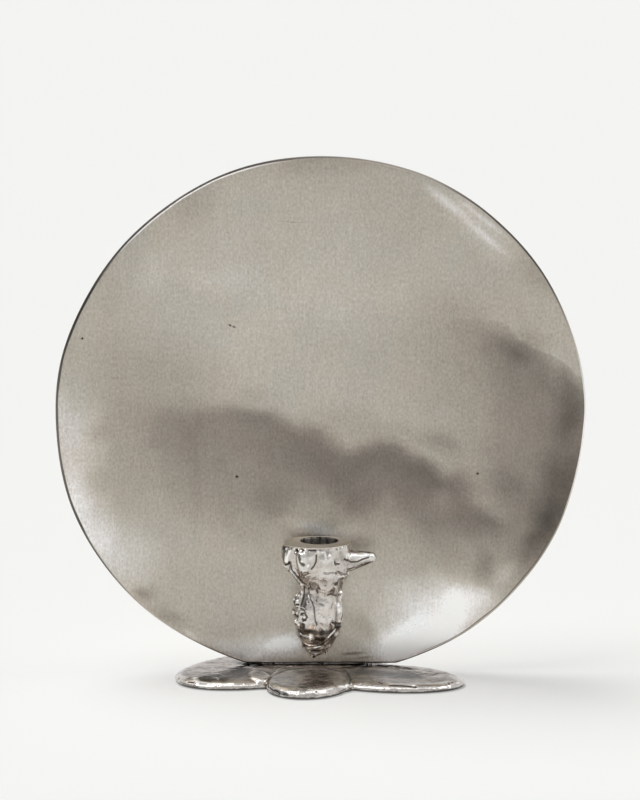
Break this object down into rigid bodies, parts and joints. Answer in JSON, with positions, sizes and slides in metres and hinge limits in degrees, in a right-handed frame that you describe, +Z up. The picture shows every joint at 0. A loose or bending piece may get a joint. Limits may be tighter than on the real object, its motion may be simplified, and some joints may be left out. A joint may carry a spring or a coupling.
{
  "type": "candle holder",
  "caption": "Table candle holder with a round upright reflector plate, a wax-drip candle socket on its front and a puddle-shaped foot.",
  "frame": {"origin": "on the floor, under the middle of the whole footprint", "axes": "+Z up, +X to the right seen from the front, +Y to the back, square to the reflector plate; the socket faces -Y"},
  "size_m": [0.32, 0.1161, 0.3163],
  "materials": {
    "plate": "cast, nickel plated and satin brushed",
    "base": "cast, nickel plated and polished",
    "socket": "cast, nickel plated and polished",
    "fastener": "zinc plated",
    "pad": "black felt"
  },
  "bodies": {
    "root": {"reflector_plate": "plate", "drip_base": "base", "candle_socket": "socket", "socket_screw_upper": "fastener", "socket_screw_lower": "fastener", "socket_washer_upper": "fastener", "socket_washer_lower": "fastener", "base_screw_left": "fastener", "base_screw_centre": "fastener", "base_screw_right": "fastener", "foot_pad_left": "pad", "foot_pad_right": "pad", "foot_pad_front": "pad", "foot_pad_back": "pad"}
  },
  "joints": []
}
